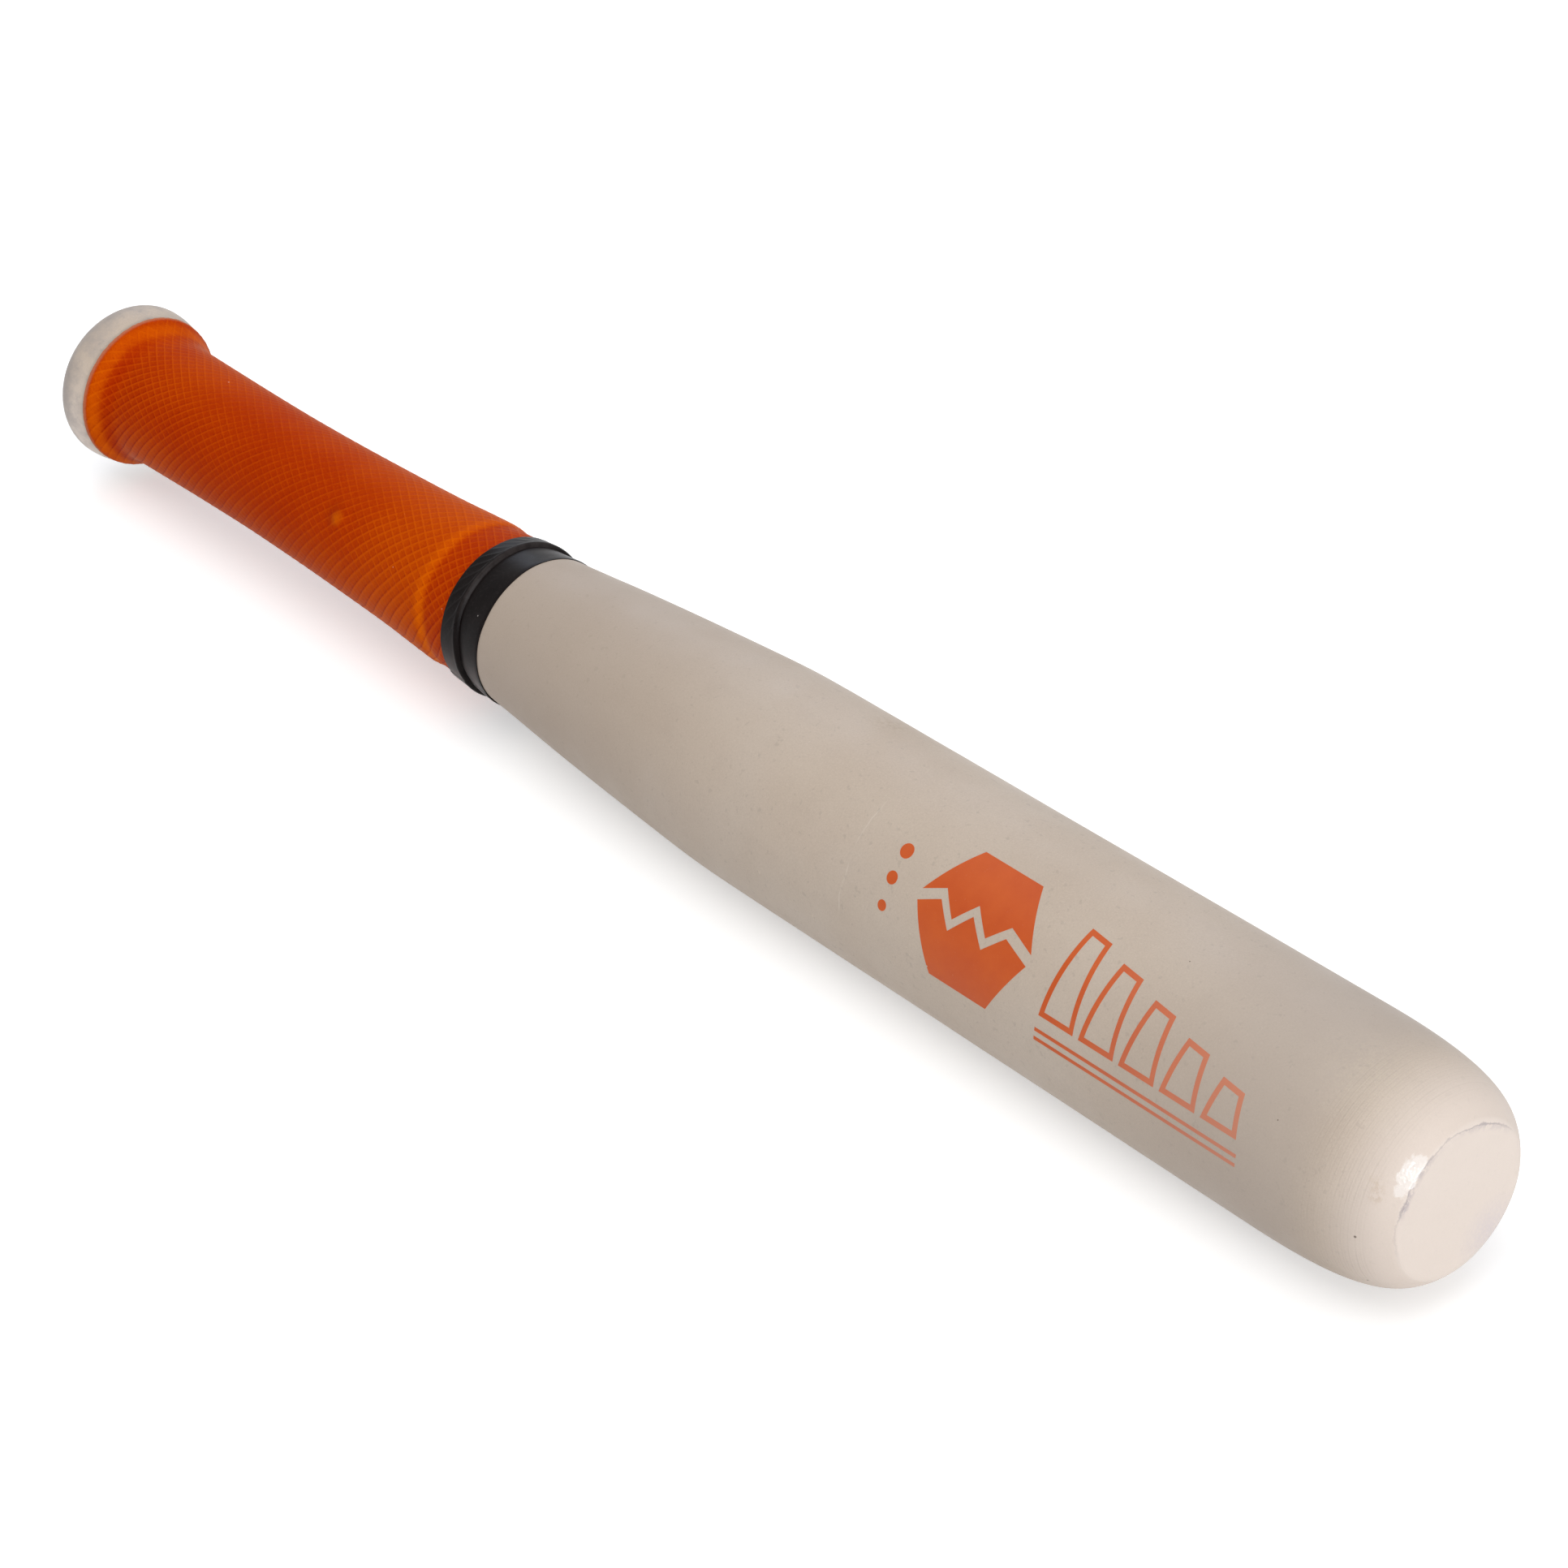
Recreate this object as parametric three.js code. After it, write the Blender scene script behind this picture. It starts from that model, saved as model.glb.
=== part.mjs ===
// A wooden rounders bat: a stick turned in one piece, a thin grip sleeve shrunk onto its
// handle, and a band of tape wound over the sleeve's end.
// Millimetres, +Z up. The bat lies along X with its tip at +X, and the origin is under
// its middle, on the surface that it lies on.
import * as THREE from "three";

// Stick, lengths in order from the butt face to the tip face.
const knobDepth = 8;
const flareLength = 17;
const handleLength = 124;
const shoulderFallLength = 3.5;
const taperLength = 109.5;
const barrelLength = 163;
const tipLength = 35;

// Stick, radii in the same order.
const buttFaceRadius = 8.5;
const knobRadius = 20.4;
const handleFootRadius = 15.35;
const waistRadius = 14.95;
const shoulderRadius = 17.75;
const shoulderDrop = 0.4;
const barrelRootRadius = 25.1;
const barrelRadius = 26;
const tipFaceRadius = 17.3;

// Grip sleeve: it starts part way up the knob's flare and ends under the tape.
const sleeveSetback = 14.2;
const sleeveLength = 151.3;
const sleeveWall = 0.7;
const sleeveLip = 0.35;

// Tape: its first stretch lies on the sleeve, and the rest steps down onto the wood.
const tapeWidth = 13.7;
const tapeOverSleeve = 5.5;
const tapeStepLength = 1.2;
const tapeLayer = 0.13;
const tapeLayers = 2;
const tapeLapLength = 26;
const tapeTailBevel = 0.4;

// What is wound or shrunk onto the stick keeps this gap to what is under it.
const fitGap = 0.15;

// Shapes that follow the sizes above: [share of the length, share of the rise].
const waistShare = 0.27;
const flareHandleShare = 0.5;
const fallHandleShare = 0.4;
const handleSwellShares = [[0.44, 0.03], [0.645, 0.25], [0.83, 0.56], [0.945, 0.865]];
const taperShares = [[0.09, 0.065], [0.19, 0.19], [0.3, 0.33], [0.43, 0.5], [0.635, 0.725], [0.87, 0.95]];
const tipHandleShares = [[0.78, 1], [0.9, 0.5]];
const tapeTailTurnShare = 0.335;

// An even number of sides, turned by half a side, puts a flat side underneath.
const sides = 48;
const sideAngle = (2 * Math.PI) / sides;
const steps = { knob: 7, flare: 9, handle: 12, fall: 4, taper: 13, barrel: 1, tip: 10 };

const at = (radius, along) => new THREE.Vector2(radius, along);

// The stick's outline from the middle of the butt face to the middle of the tip face.
function stickOutline() {
  const knobCrest = knobDepth;
  const handleFoot = knobCrest + flareLength;
  const shoulder = handleFoot + handleLength;
  const taperFoot = shoulder + shoulderFallLength;
  const taperRadius = shoulderRadius - shoulderDrop;
  const barrelRoot = taperFoot + taperLength;
  const barrelEnd = barrelRoot + barrelLength;
  const tip = barrelEnd + tipLength;

  const butt = new THREE.LineCurve(at(0, 0), at(buttFaceRadius, 0));
  const knob = new THREE.EllipseCurve(
    buttFaceRadius, knobCrest, knobRadius - buttFaceRadius, knobDepth, -Math.PI / 2, 0,
  );
  const flare = new THREE.CubicBezierCurve(
    at(knobRadius, knobCrest),
    at(knobRadius, knobCrest + flareHandleShare * flareLength),
    at(handleFootRadius, handleFoot - flareHandleShare * flareLength),
    at(handleFootRadius, handleFoot),
  );
  const handle = new THREE.SplineCurve([
    at(handleFootRadius, handleFoot),
    at(waistRadius, handleFoot + waistShare * handleLength),
    ...handleSwellShares.map(([length, rise]) =>
      at(waistRadius + rise * (shoulderRadius - waistRadius), handleFoot + length * handleLength)),
    at(shoulderRadius, shoulder),
  ]);
  const fall = new THREE.CubicBezierCurve(
    at(shoulderRadius, shoulder),
    at(shoulderRadius, shoulder + fallHandleShare * shoulderFallLength),
    at(taperRadius, taperFoot - fallHandleShare * shoulderFallLength),
    at(taperRadius, taperFoot),
  );
  const taper = new THREE.SplineCurve([
    at(taperRadius, taperFoot),
    ...taperShares.map(([length, rise]) =>
      at(taperRadius + rise * (barrelRootRadius - taperRadius), taperFoot + length * taperLength)),
    at(barrelRootRadius, barrelRoot),
  ]);
  const barrel = new THREE.LineCurve(at(barrelRootRadius, barrelRoot), at(barrelRadius, barrelEnd));
  const round = new THREE.CubicBezierCurve(
    at(barrelRadius, barrelEnd),
    ...tipHandleShares.map(([length, rise]) =>
      at(tipFaceRadius + rise * (barrelRadius - tipFaceRadius), barrelEnd + length * tipLength)),
    at(tipFaceRadius, tip),
  );
  const face = new THREE.LineCurve(at(tipFaceRadius, tip), at(0, tip));

  return [
    [butt, 1], [knob, steps.knob], [flare, steps.flare], [handle, steps.handle],
    [fall, steps.fall], [taper, steps.taper], [barrel, steps.barrel], [round, steps.tip], [face, 1],
  ].flatMap(([curve, count], i) => curve.getPoints(count).slice(i ? 1 : 0));
}

// The part of an outline between two places along the stick, with a point at each end.
function stretchOf(outline, from, to) {
  const pointAt = (along) => {
    const i = Math.max(1, outline.findIndex((p) => p.y >= along));
    const [low, high] = [outline[i - 1], outline[i]];
    return low.clone().lerp(high, (along - low.y) / (high.y - low.y));
  };
  const between = outline.filter((p) => p.y > from && p.y < to);
  return [pointAt(from), ...between, pointAt(to)];
}

// An outline moved outwards, each point along its own normal.
function offset(outline, distance) {
  return outline.map((point, i) => {
    const before = outline[Math.max(i - 1, 0)];
    const after = outline[Math.min(i + 1, outline.length - 1)];
    const along = after.clone().sub(before).normalize();
    return at(point.x + distance * along.y, point.y - distance * along.x);
  });
}

// An outline turned about the stick's axis.
function turned(outline) {
  return new THREE.LatheGeometry(outline, sides, sideAngle / 2, 2 * Math.PI);
}

// A closed section carried once round the axis, where sectionAt gives its points at each angle.
function carriedRound(angles, sectionAt) {
  const sections = angles.map(sectionAt);
  const count = sections[0].length;
  const vertices = sections.flatMap((section, i) =>
    section.flatMap((p) => [p.x * Math.sin(angles[i]), p.y, p.x * Math.cos(angles[i])]));
  const faces = sections.flatMap((_, i) =>
    Array.from({ length: count }, (_, j) => {
      const next = (i + 1) % sections.length;
      const [a, b] = [i * count + j, i * count + ((j + 1) % count)];
      const [c, d] = [next * count + ((j + 1) % count), next * count + j];
      return [a, b, d, d, b, c];
    }).flat());
  const geometry = new THREE.BufferGeometry();
  geometry.setAttribute("position", new THREE.Float32BufferAttribute(vertices, 3));
  geometry.setIndex(faces);
  geometry.computeVertexNormals();
  return geometry;
}

// The sleeve follows the stick at one wall all the way, with a thinned lip on the knob.
function sleeveOutline(stick) {
  const bed = stretchOf(stick, sleeveSetback, sleeveSetback + sleeveLength);
  const inside = offset(bed, fitGap);
  const outside = offset(bed, fitGap + sleeveWall);
  const lip = offset(bed, fitGap + sleeveWall - sleeveLip)[0];
  const shoulder = outside[0].clone().lerp(outside[1], sleeveLip / outside[0].distanceTo(outside[1]));
  return { inside, outside: [lip, shoulder, ...outside.slice(1)] };
}

// The tape lies on the sleeve, steps down over its end and goes on along the wood.
// It is wound on itself, so one layer more lies between its tail and its buried start.
function windTape(stick, sleeve) {
  const sleeveEnd = sleeve.outside.at(-1).y;
  const start = sleeveEnd - tapeOverSleeve;
  const onSleeve = stretchOf(sleeve.outside, start, sleeveEnd);
  const onWood = stretchOf(stick, sleeveEnd + tapeStepLength, start + tapeWidth);
  const bed = [...onSleeve, ...onWood];
  const inside = offset(bed, fitGap);

  const wrapRadius = bed[0].x;
  const tail = tapeTailTurnShare * 2 * Math.PI;
  const buriedStart = tail + tapeLapLength / wrapRadius;
  const bevel = tapeTailBevel / wrapRadius;
  const evenly = Array.from({ length: sides }, (_, i) => (i + 0.5) * sideAngle);
  const angles = [...evenly, tail - bevel, tail].sort((a, b) => a - b);
  return carriedRound(angles, (angle) => {
    const lapped = angle >= tail && angle < buriedStart;
    const layers = tapeLayers + (lapped ? 1 : 0);
    return [...inside, ...offset(bed, fitGap + layers * tapeLayer).reverse()];
  });
}

function piece(name, geometry, colour, roughness) {
  const material = new THREE.MeshStandardMaterial({ color: colour, roughness, metalness: 0 });
  const mesh = new THREE.Mesh(geometry, material);
  mesh.name = name;
  return mesh;
}

const stick = stickOutline();
const sleeve = sleeveOutline(stick);
const sleeveSection = [...sleeve.outside, ...sleeve.inside.slice().reverse(), sleeve.outside[0]];

// The turning axis is the group's Y, and it is laid down along the part's X.
const bat = new THREE.Group();
bat.add(piece("bat_body", turned(stick), 0xcdc2b6, 0.42));
bat.add(piece("grip_sleeve", turned(sleeveSection), 0xc24a08, 0.55));
bat.add(piece("finishing_tape", windTape(stick, sleeve), 0x1c1b1c, 0.4));
bat.rotation.z = -Math.PI / 2;
const batLength = stick.at(-1).y;
bat.position.set(-batLength / 2, 0, barrelRadius * Math.cos(sideAngle / 2));

const part = new THREE.Group();
part.add(bat);
export default part;
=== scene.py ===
import math

import bpy
import numpy as np
from mathutils import Matrix, Vector, noise


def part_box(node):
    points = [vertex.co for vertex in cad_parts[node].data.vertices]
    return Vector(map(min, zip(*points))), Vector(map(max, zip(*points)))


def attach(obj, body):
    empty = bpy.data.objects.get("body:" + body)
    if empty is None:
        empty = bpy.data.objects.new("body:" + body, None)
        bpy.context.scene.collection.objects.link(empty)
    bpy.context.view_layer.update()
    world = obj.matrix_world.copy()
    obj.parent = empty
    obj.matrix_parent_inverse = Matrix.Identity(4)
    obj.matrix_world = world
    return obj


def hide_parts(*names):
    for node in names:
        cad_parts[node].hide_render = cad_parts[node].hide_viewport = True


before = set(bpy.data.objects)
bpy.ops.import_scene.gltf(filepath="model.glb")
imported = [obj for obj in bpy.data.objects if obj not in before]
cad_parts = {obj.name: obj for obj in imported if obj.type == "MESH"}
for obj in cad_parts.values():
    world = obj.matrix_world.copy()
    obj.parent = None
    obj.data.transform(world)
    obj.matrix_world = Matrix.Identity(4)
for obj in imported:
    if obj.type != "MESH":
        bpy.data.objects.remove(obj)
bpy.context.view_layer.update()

MM = 0.001
TURN = 2 * math.pi
LOW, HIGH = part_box("bat_body")
BUTT_X = LOW[0]
AXIS_Z = (LOW[2] + HIGH[2]) / 2
VIEW_SIDE = math.radians(45.9)  # the angle of the side that faces the camera
STICK_SEGMENTS, TAPE_SEGMENTS = 288, 360

# Corners of the stick's outline from the butt to the tip, as (along, radius).
BUTT_EDGE = (0, 8.5)
KNOB_CREST = (8, 20.4)
HANDLE_FOOT = (25, 15.35)
SHOULDER = (149, 17.75)
TAPER_FOOT = (152.5, 17.35)
BARREL_ROOT = (262, 25.1)
BARREL_END = (425, 26)
TIP_EDGE = (460, 17.3)
TIP = TIP_EDGE[0]
WAIST_RADIUS = 14.95
# Between two corners, as (share of the length, share of the rise): points on the outline, or
# the handles of its curve.
FLARE_HANDLES = ((0.5, 0), (0.5, 1))
HANDLE_SWELL = ((0.27, 0), (0.44, 0.03), (0.645, 0.25), (0.83, 0.56), (0.945, 0.865))
FALL_HANDLES = ((0.4, 0), (0.6, 1))
TAPER_SWELL = ((0.09, 0.065), (0.19, 0.19), (0.3, 0.33), (0.43, 0.5), (0.635, 0.725), (0.87, 0.95))
TIP_HANDLES = ((0.78, 0), (0.9, 0.5))

# The grip sleeve and the tape over its end. Both keep the gap to what is under them. The tape
# steps down onto the wood, and from its tail it laps over its own start.
FIT_GAP = 0.15
SLEEVE_START, SLEEVE_END = 14.2, 165.5
SLEEVE_WALL = 0.7
SLEEVE_SKIN = 0.6  # the wall's thickness between the ribs
TAPE_START, TAPE_END = 160.25, 173.75
TAPE_STEP = 0.8
TAPE_THICKNESS = 0.26
TAPE_LAYER = 0.13
TAPE_TAIL = math.radians(120.6)
TAPE_LAP = 26.0


# Outline of the stick

def bezier(points, count):
    t = np.linspace(0, 1, count + 1)[:, None]
    a, b, c, d = (np.array(p, float) for p in points)
    return (1 - t) ** 3 * a + 3 * (1 - t) ** 2 * t * b + 3 * (1 - t) * t ** 2 * c + t ** 3 * d


def between(start, end, shares):
    """Points at those shares of the length and of the rise from one corner to another."""
    return [(start[0] + length * (end[0] - start[0]), start[1] + rise * (end[1] - start[1]))
            for length, rise in shares]


def curve(start, end, handles, count):
    return bezier([start, *between(start, end, handles), end], count)


def smooth_line(points, count):
    """A curve through the points, with count steps in each span."""
    p = np.array([points[0], *points, points[-1]], float)
    spans = []
    for before, start, end, after in zip(p, p[1:], p[2:], p[3:]):
        t = np.linspace(0, 1, count + 1)[:, None]
        leave, arrive = (end - before) / 2, (after - start) / 2
        spans.append(
            (2 * start - 2 * end + leave + arrive) * t ** 3
            + (3 * end - 3 * start - 2 * leave - arrive) * t ** 2
            + leave * t + start
        )
    return joined(*spans)


def joined(*lines):
    """One line from several, each of which starts where the one before it ends."""
    return np.vstack([lines[0]] + [line[1:] for line in lines[1:]])


def stick_outline():
    """(along, radius) from the middle of the butt to the middle of the tip."""
    butt = np.linspace((0, 0), (0, BUTT_EDGE[1] - 0.3), 7)
    turn = np.linspace(-math.pi / 2, 0, 25)
    knob = np.column_stack([
        KNOB_CREST[0] * (1 + np.sin(turn)),
        BUTT_EDGE[1] + (KNOB_CREST[1] - BUTT_EDGE[1]) * np.cos(turn)])
    flare = curve(KNOB_CREST, HANDLE_FOOT, FLARE_HANDLES, 20)
    swell = between((HANDLE_FOOT[0], WAIST_RADIUS), SHOULDER, HANDLE_SWELL)
    handle = smooth_line([HANDLE_FOOT, *swell, SHOULDER], 5)
    fall = curve(SHOULDER, TAPER_FOOT, FALL_HANDLES, 8)
    swell = between(TAPER_FOOT, BARREL_ROOT, TAPER_SWELL)
    taper = smooth_line([TAPER_FOOT, *swell, BARREL_ROOT], 7)
    barrel = np.linspace(BARREL_ROOT, BARREL_END, 57)
    rounding = curve(BARREL_END, TIP_EDGE, TIP_HANDLES, 74)[:-2]
    face_edge = (TIP, TIP_EDGE[1] - 0.8)
    rim = bezier([rounding[-1], (TIP - 0.25, TIP_EDGE[1] + 0.32),
                  (TIP - 0.02, TIP_EDGE[1] - 0.2), face_edge], 4)
    face = np.linspace(face_edge, (TIP, 0), 34)
    return joined(butt, knob, flare, handle, fall, taper, barrel, rounding, rim, face)


STICK = stick_outline()
SIDE = slice(7, -36)  # the outline's points between the butt face and the rim of the tip
BODY = STICK[(STICK[:, 1] > 12) & (STICK[:, 0] < TIP - 2)]


def along_surface(line):
    """Distance walked along a line of points."""
    return np.concatenate([[0], np.cumsum(np.hypot(*np.diff(line, axis=0).T))])


def normals_of(line):
    """Outward normals of a line of (along, radius)."""
    step = np.gradient(line, axis=0)
    step /= np.linalg.norm(step, axis=1)[:, None]
    return np.column_stack([-step[:, 1], step[:, 0]])


def stretch(start, end, spacing):
    """The stick's outline between two places, evenly spaced, with its outward normals."""
    walked = along_surface(BODY)
    ends = np.interp([start, end], BODY[:, 0], walked)
    places = np.linspace(*ends, max(2, int(np.ptp(ends) / spacing) + 1))
    line = np.column_stack([np.interp(places, walked, BODY[:, i]) for i in (0, 1)])
    return line, normals_of(line)


def radius_at(along):
    return np.interp(along, BODY[:, 0], BODY[:, 1])


def place(along, angle, radius):
    """Row-frame points in metres, from the place along the bat, the angle and the radius."""
    return np.column_stack([
        BUTT_X + np.asarray(along) * MM,
        -np.asarray(radius) * np.sin(angle) * MM,
        AXIS_Z + np.asarray(radius) * np.cos(angle) * MM,
    ])


def unplaced(points):
    """The place along the bat, the angle and the radius of row-frame points."""
    y, z = points[:, 1], points[:, 2] - AXIS_Z
    return (points[:, 0] - BUTT_X) / MM, np.arctan2(-y, z), np.hypot(y, z) / MM


def smooth_step(low, high, value):
    t = np.clip((np.asarray(value, float) - low) / (high - low), 0, 1)
    return t * t * (3 - 2 * t)


def angle_between(angle, centre):
    return (np.asarray(angle) - centre + math.pi) % TURN - math.pi


def soft_noise(along, angle, radius, size, seed):
    """Smooth noise from -1 to 1 over the surface, with blobs of about that size."""
    offset = Vector((seed * 17.3, seed * 5.1, seed * 9.7))
    spots = np.column_stack([along, radius * np.cos(angle), radius * np.sin(angle)]) / size
    return np.array([noise.noise(Vector(spot) + offset) for spot in spots])


# Mesh helpers

def read_points(piece):
    points = np.empty(len(piece.data.vertices) * 3)
    piece.data.vertices.foreach_get("co", points)
    return points.reshape(-1, 3)


def write_points(piece, points):
    piece.data.vertices.foreach_set("co", np.ascontiguousarray(points, float).ravel())
    piece.data.update()


def start_piece(name, add, **settings):
    bpy.ops.object.select_all(action="DESELECT")
    add(**settings)
    piece = bpy.context.object
    piece.name = piece.data.name = name
    return piece


def select_only(*pieces):
    """Selects these pieces alone and makes the first of them active."""
    bpy.ops.object.select_all(action="DESELECT")
    for piece in pieces:
        piece.select_set(True)
    bpy.context.view_layer.objects.active = pieces[0]


def settle(piece):
    """Puts the piece's object at the origin, unturned and unscaled."""
    select_only(piece)
    bpy.ops.object.transform_apply(location=True, rotation=True, scale=True)


def join(*pieces):
    """Joins the pieces into the first of them."""
    select_only(*pieces)
    bpy.ops.object.join()


def edit(piece, select="SELECT"):
    bpy.context.view_layer.objects.active = piece
    bpy.ops.object.mode_set(mode="EDIT")
    bpy.ops.mesh.select_mode(type="VERT")
    bpy.ops.mesh.select_all(action=select)


def leave():
    bpy.ops.object.mode_set(mode="OBJECT")


def cut(point, direction, **settings):
    """Cuts the whole mesh along a plane, in edit mode."""
    bpy.ops.mesh.select_all(action="SELECT")
    bpy.ops.mesh.bisect(plane_co=point, plane_no=direction, **settings)


def finish_shape(piece, angle):
    """Merges doubles, turns the faces outwards and shades smooth what turns by less than that."""
    edit(piece)
    bpy.ops.mesh.remove_doubles(threshold=2e-6)
    bpy.ops.mesh.normals_make_consistent(inside=False)
    leave()
    select_only(piece)
    bpy.ops.object.shade_smooth_by_angle(angle=math.radians(angle))


def spun(name, line, segments, closed=False):
    """Draws a line of (along, radius) point by point and spins it round the bat's axis."""
    start = start_piece(
        name, bpy.ops.mesh.primitive_plane_add, size=MM,
        location=(BUTT_X + line[0][0] * MM, 0, AXIS_Z + line[0][1] * MM))
    settle(start)
    edit(start)
    bpy.ops.mesh.merge(type="CENTER")
    for step in np.diff(line, axis=0) * MM:
        bpy.ops.mesh.extrude_vertices_move(
            TRANSFORM_OT_translate={"value": (step[0], 0, step[1])})
    if closed:
        bpy.ops.mesh.select_all(action="SELECT")
        bpy.ops.mesh.remove_doubles(threshold=1e-7)
    bpy.ops.mesh.select_all(action="SELECT")
    bpy.ops.mesh.spin(
        steps=segments, angle=TURN, use_auto_merge=True,
        center=(0, 0, AXIS_Z), axis=(1, 0, 0))
    leave()
    return start


# Painted stick

# The clear film over the mark reaches so far along the barrel, and round it from its upper to
# its lower side.
FILM_START, FILM_END = 306.0, 430.0
FILM_TOP, FILM_BOTTOM = VIEW_SIDE - math.radians(31.5), 2.0
# Small drops in the paint: (along, past, width, height).
PAINT_DROPS = (
    (280.3, 0.86, 1.2, 0.17), (297.3, 0.96, 1.3, 0.18), (328, 0.53, 0.9, 0.13),
    (329.6, 0.6, 0.7, 0.11), (326.6, 0.58, 0.8, 0.11), (327.6, 0.66, 0.6, 0.1),
    (330.4, 0.52, 0.6, 0.1), (328.9, 0.71, 0.6, 0.1), (416, -0.33, 1.0, 0.1),
    (429.4, -0.64, 1.5, 0.06), (334.2, 0.71, 0.6, 0.09), (322.4, 0.74, 0.6, 0.09),
    (338.5, 0.82, 0.7, 0.09), (359.5, -0.27, 0.7, 0.1), (361, -0.24, 0.5, 0.08))


def paint_height(along, angle, radius):
    """Height of the paint over the turned outline."""
    height = 0.05 * soft_noise(along, angle, radius, 34, 1)
    height += 0.012 * soft_noise(along, angle, radius, 9, 2)
    film = smooth_step(FILM_START - 0.2, FILM_START + 0.25, along)
    film *= 1 - smooth_step(FILM_END, FILM_END + 6, along)
    film *= smooth_step(FILM_TOP - 0.014, FILM_TOP + 0.014, angle)
    film *= 1 - smooth_step(FILM_BOTTOM, FILM_BOTTOM + 0.03, angle)
    return height + 0.03 * film


def tip_relief(along, angle, radius):
    """The tip face's slight dish inside a low bead of paint on its upper side."""
    upper = 0.5 + 0.5 * np.cos(angle_between(angle, math.radians(25)))
    dish = 1 - smooth_step(14.2, 17.0, radius)
    bead = np.exp(-((radius - 18.3) / 0.7) ** 2) * upper ** 2
    return np.where(along > TIP - 3, 0.16 * bead - 0.22 * dish * (along > TIP - 0.5), 0)


def paint_drop(along, past, width, height):
    """A ball sunk into the paint, whose top fifth stands out."""
    turn = VIEW_SIDE + past
    ball, depth = width / 1.2, 5 * height
    centre = place([along], turn, radius_at(along) - 0.8 * depth)[0]
    drop = start_piece(
        "paint_drop", bpy.ops.mesh.primitive_uv_sphere_add, segments=20, ring_count=20,
        radius=ball * MM, location=centre, rotation=(turn, 0, 0), scale=(1, 1, depth / ball))
    settle(drop)
    bpy.ops.object.shade_smooth()
    return drop


def painted_stick():
    stick = spun("painted_stick", STICK, STICK_SEGMENTS)
    finish_shape(stick, 40)
    along, angle, radius = unplaced(read_points(stick))
    side = (along > 0.5) & (along < TIP - 0.8)
    past_tape = smooth_step(TAPE_END + 0.3, TAPE_END + 3, along)
    uncovered = np.maximum(past_tape, along < SLEEVE_START - 1.2)
    height = np.where(side, paint_height(along, angle, radius), 0) * uncovered
    slope = np.interp(along, STICK[SIDE, 0], normals_of(STICK)[SIDE, 0])
    radius = radius + height * np.sqrt(np.maximum(0, 1 - slope ** 2))
    along = along + height * np.where(side, slope, 0)
    along = along + tip_relief(along, angle, radius)
    write_points(stick, place(along, angle, radius))
    join(stick, *(paint_drop(*drop) for drop in PAINT_DROPS))
    return stick


# Ribbed grip sleeve

# Two families of ribs: how many of each go round, how many pass per mm along the grip, and the
# count of each at the butt on the side that faces the camera.
RIBS_ROUND = (38, -46)
RIBS_ALONG = (0.335, 0.285)
RIB_START = (0.25, 0.4)
# The stretched sleeve carries each family off that even count, by so many ribs: it leans and
# bows along the grip and round it, and it twists.
RIB_LEAN = ((-0.3, -0.5), (-0.9, 0.1))
RIB_BOW = ((-0.7, -0.5), (-0.4, -0.1))
RIB_TWIST = (-0.6, -0.5)
GRIP_MIDDLE, GRIP_REACH = 85, 60
# Shares of the way from one rib to the next, and the height of each family there.
RIB_SHARES = (0.0, 0.3, 0.66, 0.84)
RIB_HEIGHTS = ((0.02, 0.0, -0.01, 0.045), (0.012, 0.0, 0.0, 0.03))
# Where a painted highlight rings the sleeve over an edge under it, and (along, past) of a blister
# and a hollow.
FLARE_RING, COLLAR = 16.9, 149.7
BLISTER, HOLLOW = (113, 0.13), (118.5, 0.02)
SKIN_END = TAPE_START + 1.2


def rib_height(count, family):
    """Height of one family of ribs, where the count goes up by one from each rib to the next."""
    heights = RIB_HEIGHTS[family]
    return np.interp(count % 1.0, (*RIB_SHARES, 1.0), (*heights, heights[0]))


def rib_drift(along, past):
    """How many ribs the stretching adds to each family at a place; none behind the bat."""
    u = (np.clip(along, 18, SHOULDER[0]) - GRIP_MIDDLE) / GRIP_REACH
    v = np.clip(past, -1.15, 1.2) / 1.1
    near = 1 - smooth_step(1.2, 3.0, np.abs(past))
    return [near * (lean[0] * u + lean[1] * v + bow[0] * u * u + bow[1] * v * v + twist * u * v)
            for lean, bow, twist in zip(RIB_LEAN, RIB_BOW, RIB_TWIST)]


def rib_place(a, b):
    """The place along the bat and past the view side where the families' counts are a and b."""
    (round_a, round_b), (along_a, along_b) = RIBS_ROUND, RIBS_ALONG
    drift_a, drift_b = 0, 0
    for _ in range(30):
        even_a, even_b = a - drift_a - RIB_START[0], b - drift_b - RIB_START[1]
        along = (round_a * even_b - round_b * even_a) / (round_a * along_b - round_b * along_a)
        past = TURN * (even_a - along_a * along) / round_a
        drift_a, drift_b = rib_drift(along, angle_between(past, 0))
    return along, past


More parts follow.
